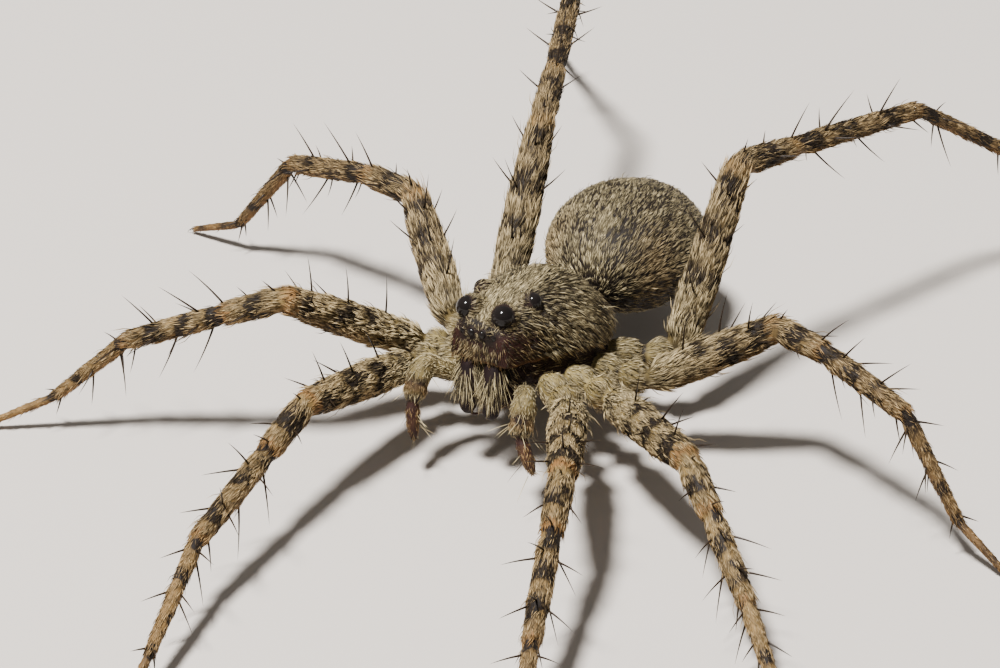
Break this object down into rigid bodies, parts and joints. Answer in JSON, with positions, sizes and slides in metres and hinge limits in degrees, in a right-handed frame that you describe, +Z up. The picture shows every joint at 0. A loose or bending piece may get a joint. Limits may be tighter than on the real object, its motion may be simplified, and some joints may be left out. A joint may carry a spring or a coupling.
{
  "type": "wolf spider figure",
  "caption": "Life-size still model of a hairy thin-legged wolf spider, standing with its legs spread, for display and natural history scenes.",
  "frame": {"origin": "on the floor, under the middle of the whole animal's box of length and width", "axes": "+Z up from the floor the feet stand on, -Y the way the head looks, +X the animal's left"},
  "size_m": [0.0196, 0.0252, 0.0047],
  "materials": {
    "carapace": "dark brown cuticle under a coat of pale grey and straw hairs",
    "underside": "dark brown cuticle with fine pale hairs",
    "abdomen": "soft olive grey skin under a dense coat of straw and dark hairs",
    "limb": "tan cuticle with dark rings under straw and black hairs",
    "spine": "black bristles and claws, slightly glossy",
    "jaw": "dark red brown, glossy",
    "eye": "black, mirror gloss"
  },
  "bodies": {
    "root": {"cephalothorax": "carapace", "sternum": "underside", "mouthparts": "underside", "pedicel": "underside", "abdomen": "abdomen", "spinnerets": "abdomen", "chelicera_left": "jaw", "chelicera_right": "jaw", "palp_femur_left": "limb", "palp_tip_left": "limb", "palp_femur_right": "limb", "palp_tip_right": "limb", "coxa_left_1": "limb", "femur_left_1": "limb", "tibia_left_1": "limb", "metatarsus_left_1": "limb", "tarsus_left_1": "limb", "coxa_left_2": "limb", "femur_left_2": "limb", "tibia_left_2": "limb", "metatarsus_left_2": "limb", "tarsus_left_2": "limb", "coxa_left_3": "limb", "femur_left_3": "limb", "tibia_left_3": "limb", "metatarsus_left_3": "limb", "tarsus_left_3": "limb", "coxa_left_4": "limb", "femur_left_4": "limb", "tibia_left_4": "limb", "metatarsus_left_4": "limb", "tarsus_left_4": "limb", "coxa_right_1": "limb", "femur_right_1": "limb", "tibia_right_1": "limb", "metatarsus_right_1": "limb", "tarsus_right_1": "limb", "coxa_right_2": "limb", "femur_right_2": "limb", "tibia_right_2": "limb", "metatarsus_right_2": "limb", "tarsus_right_2": "limb", "coxa_right_3": "limb", "femur_right_3": "limb", "tibia_right_3": "limb", "metatarsus_right_3": "limb", "tarsus_right_3": "limb", "coxa_right_4": "limb", "femur_right_4": "limb", "tibia_right_4": "limb", "metatarsus_right_4": "limb", "tarsus_right_4": "limb", "eye_posterior_median_left": "eye", "eye_posterior_median_right": "eye", "eye_posterior_lateral_left": "eye", "eye_posterior_lateral_right": "eye", "eye_anterior_median_left": "eye", "eye_anterior_median_right": "eye", "eye_anterior_lateral_left": "eye", "eye_anterior_lateral_right": "eye"}
  },
  "joints": []
}
